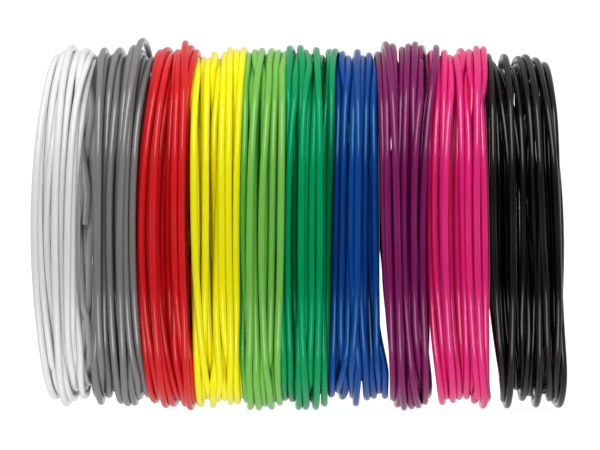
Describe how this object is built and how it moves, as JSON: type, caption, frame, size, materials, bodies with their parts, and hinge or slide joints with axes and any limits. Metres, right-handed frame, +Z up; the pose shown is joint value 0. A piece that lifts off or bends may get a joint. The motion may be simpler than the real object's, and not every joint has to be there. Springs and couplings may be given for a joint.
{
  "type": "three-d pen filament coil set",
  "caption": "Loose ring-shaped coils of thin plastic filament for a three-d pen, each in its own colour, standing on edge side by side in a row.",
  "frame": {"origin": "on the surface that the coils stand on, under the middle of the row", "axes": "+X along the row, from the white coil to the black one, which is each coil's own axis; +Z up from the surface; -Y towards the front"},
  "size_m": [0.1312, 0.0938, 0.0933],
  "materials": {
    "white_filament": "extruded thermoplastic filament with a soft gloss",
    "grey_filament": "extruded thermoplastic filament with a soft gloss",
    "red_filament": "extruded thermoplastic filament with a soft gloss",
    "yellow_filament": "extruded thermoplastic filament with a soft gloss",
    "light_green_filament": "extruded thermoplastic filament with a soft gloss",
    "green_filament": "extruded thermoplastic filament with a soft gloss",
    "blue_filament": "extruded thermoplastic filament with a soft gloss",
    "purple_filament": "extruded thermoplastic filament with a soft gloss",
    "pink_filament": "extruded thermoplastic filament with a soft gloss",
    "black_filament": "extruded thermoplastic filament with a soft gloss"
  },
  "bodies": {
    "white_coil": {"filament_coil_white": "white_filament"},
    "grey_coil": {"filament_coil_grey": "grey_filament"},
    "red_coil": {"filament_coil_red": "red_filament"},
    "yellow_coil": {"filament_coil_yellow": "yellow_filament"},
    "light_green_coil": {"filament_coil_light_green": "light_green_filament"},
    "green_coil": {"filament_coil_green": "green_filament"},
    "blue_coil": {"filament_coil_blue": "blue_filament"},
    "purple_coil": {"filament_coil_purple": "purple_filament"},
    "pink_coil": {"filament_coil_pink": "pink_filament"},
    "black_coil": {"filament_coil_black": "black_filament"}
  },
  "joints": [
    {"name": "white_lift", "type": "slide", "parent": "green_coil", "child": "white_coil", "axis": [0, 0, 1], "range_m": [0, 0.1]},
    {"name": "grey_lift", "type": "slide", "parent": "green_coil", "child": "grey_coil", "axis": [0, 0, 1], "range_m": [0, 0.1]},
    {"name": "red_lift", "type": "slide", "parent": "green_coil", "child": "red_coil", "axis": [0, 0, 1], "range_m": [0, 0.1]},
    {"name": "yellow_lift", "type": "slide", "parent": "green_coil", "child": "yellow_coil", "axis": [0, 0, 1], "range_m": [0, 0.1]},
    {"name": "light_green_lift", "type": "slide", "parent": "green_coil", "child": "light_green_coil", "axis": [0, 0, 1], "range_m": [0, 0.1]},
    {"name": "blue_lift", "type": "slide", "parent": "green_coil", "child": "blue_coil", "axis": [0, 0, 1], "range_m": [0, 0.1]},
    {"name": "purple_lift", "type": "slide", "parent": "green_coil", "child": "purple_coil", "axis": [0, 0, 1], "range_m": [0, 0.1]},
    {"name": "pink_lift", "type": "slide", "parent": "green_coil", "child": "pink_coil", "axis": [0, 0, 1], "range_m": [0, 0.1]},
    {"name": "black_lift", "type": "slide", "parent": "green_coil", "child": "black_coil", "axis": [0, 0, 1], "range_m": [0, 0.1]}
  ]
}
